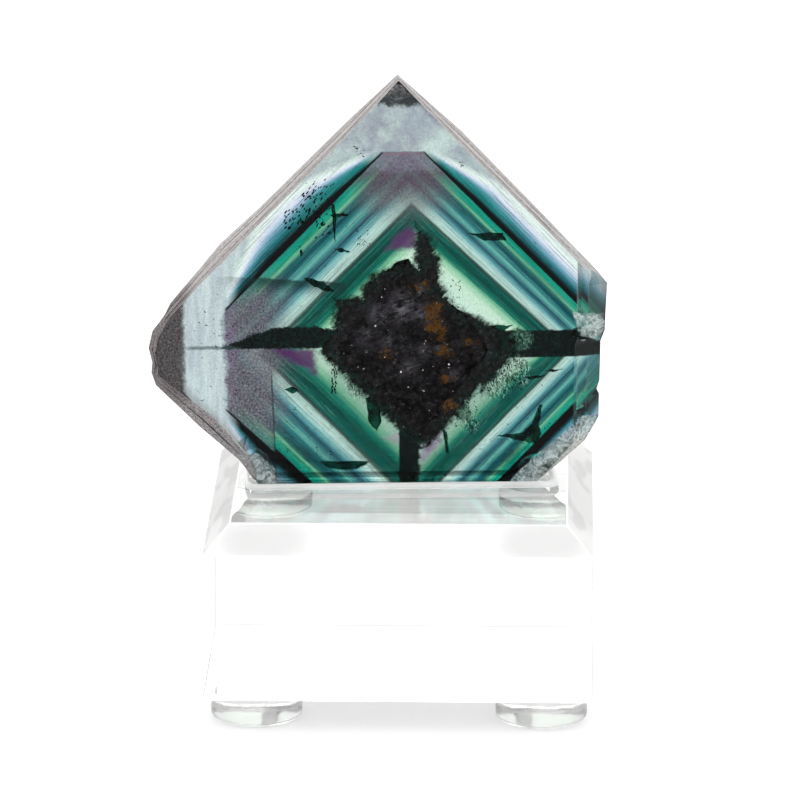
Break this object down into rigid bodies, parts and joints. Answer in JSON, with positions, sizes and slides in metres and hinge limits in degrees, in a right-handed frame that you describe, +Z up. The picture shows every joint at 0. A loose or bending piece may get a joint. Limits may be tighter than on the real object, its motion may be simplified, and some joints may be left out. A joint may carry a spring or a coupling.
{
  "type": "fluorite slice on stand",
  "caption": "Polished slice of zoned green fluorite with a dark core, standing upright on a clear bevelled acrylic block with round clear feet.",
  "frame": {"origin": "middle of the whole object's box, on the surface that the four feet stand on", "axes": "+Z up, towards the slice's point; +Y from the slice's polished front to its back; +X to the right as seen from the front"},
  "size_m": [0.0652, 0.055, 0.0893],
  "materials": {
    "clear_acrylic": "clear polished acrylic with a few fine scratches",
    "zoned_fluorite": "polished see-through fluorite, zoned in teal, green, ice blue and purple-grey, with matt natural edges and a dark rough core",
    "clear_glue": "clear set glue with a soft shine",
    "clear_bumper": "clear soft plastic bumper with a satin shine"
  },
  "bodies": {
    "root": {"acrylic_block": "clear_acrylic", "fluorite_slice": "zoned_fluorite", "glue_line": "clear_glue", "foot_front_left": "clear_bumper", "foot_front_right": "clear_bumper", "foot_back_left": "clear_bumper", "foot_back_right": "clear_bumper"}
  },
  "joints": []
}
